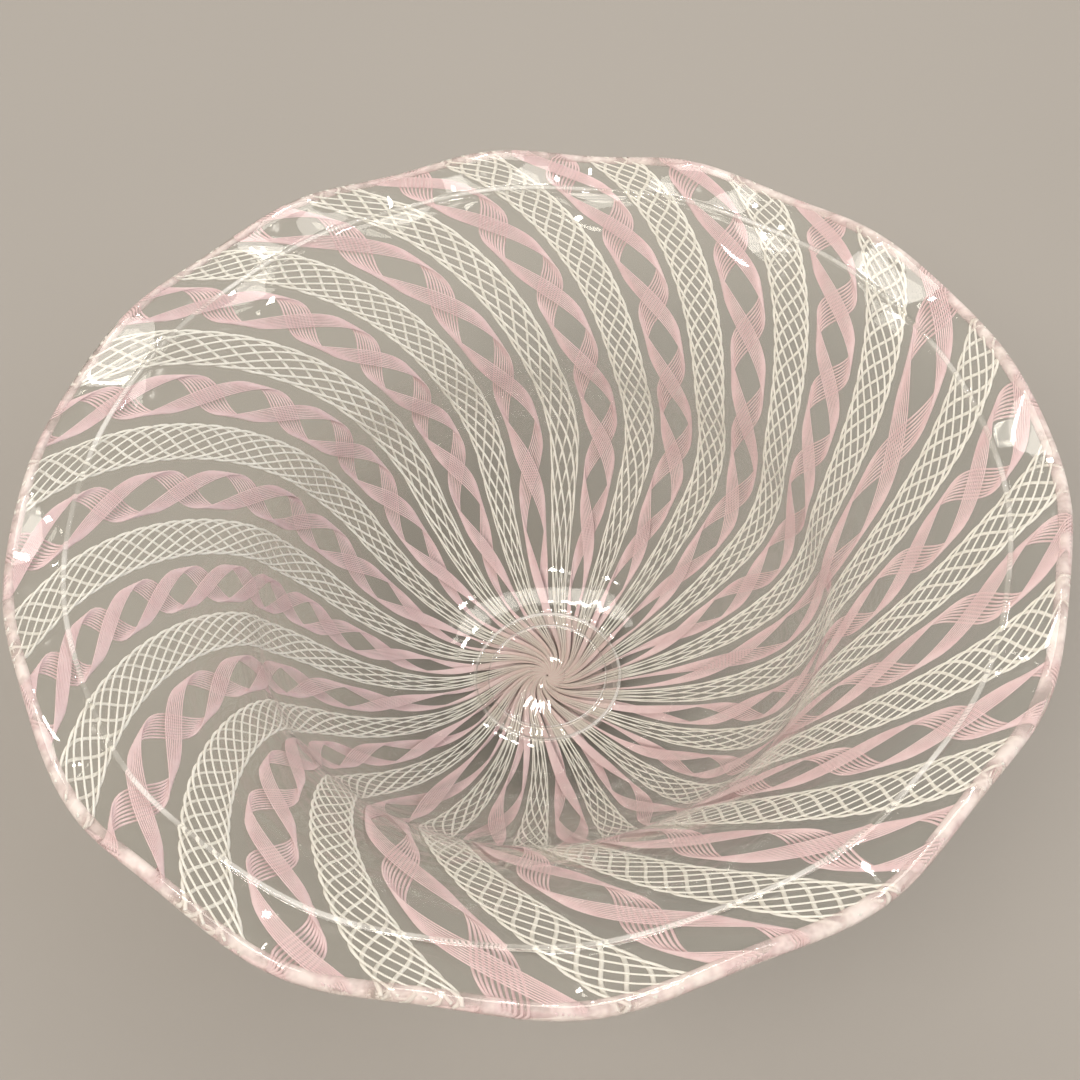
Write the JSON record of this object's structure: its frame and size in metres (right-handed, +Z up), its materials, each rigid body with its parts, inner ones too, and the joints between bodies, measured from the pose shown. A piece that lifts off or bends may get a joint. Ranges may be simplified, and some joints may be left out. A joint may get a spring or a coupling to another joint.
{
  "type": "footed glass bowl",
  "caption": "Footed glass bowl of twisted pink ribbon canes and white net canes that swirl up to a flared, waved lip.",
  "frame": {"origin": "centre of the foot's underside, on the plane the bowl stands on", "axes": "+Z up along the bowl's axis; the first pink ribbon cane leaves the foot 11 degrees round from +X towards +Y"},
  "size_m": [0.2408, 0.2402, 0.0972],
  "materials": {
    "clear_glass": "clear, fire-polished",
    "pink_ribbon_glass": "clear glass around twisted ribbons of fine pink threads, fire-polished",
    "white_net_glass": "clear glass around a net of fine white threads, fire-polished"
  },
  "bodies": {
    "root": {"applied_foot": "clear_glass", "pinched_base_button": "clear_glass", "pink_ribbon_cane_01": "pink_ribbon_glass", "pink_ribbon_cane_02": "pink_ribbon_glass", "pink_ribbon_cane_03": "pink_ribbon_glass", "pink_ribbon_cane_04": "pink_ribbon_glass", "pink_ribbon_cane_05": "pink_ribbon_glass", "pink_ribbon_cane_06": "pink_ribbon_glass", "pink_ribbon_cane_07": "pink_ribbon_glass", "pink_ribbon_cane_08": "pink_ribbon_glass", "pink_ribbon_cane_09": "pink_ribbon_glass", "pink_ribbon_cane_10": "pink_ribbon_glass", "pink_ribbon_cane_11": "pink_ribbon_glass", "pink_ribbon_cane_12": "pink_ribbon_glass", "pink_ribbon_cane_13": "pink_ribbon_glass", "pink_ribbon_cane_14": "pink_ribbon_glass", "pink_ribbon_cane_15": "pink_ribbon_glass", "pink_ribbon_cane_16": "pink_ribbon_glass", "pink_ribbon_cane_17": "pink_ribbon_glass", "pink_ribbon_cane_18": "pink_ribbon_glass", "white_net_cane_01": "white_net_glass", "white_net_cane_02": "white_net_glass", "white_net_cane_03": "white_net_glass", "white_net_cane_04": "white_net_glass", "white_net_cane_05": "white_net_glass", "white_net_cane_06": "white_net_glass", "white_net_cane_07": "white_net_glass", "white_net_cane_08": "white_net_glass", "white_net_cane_09": "white_net_glass", "white_net_cane_10": "white_net_glass", "white_net_cane_11": "white_net_glass", "white_net_cane_12": "white_net_glass", "white_net_cane_13": "white_net_glass", "white_net_cane_14": "white_net_glass", "white_net_cane_15": "white_net_glass", "white_net_cane_16": "white_net_glass", "white_net_cane_17": "white_net_glass", "white_net_cane_18": "white_net_glass"}
  },
  "joints": []
}
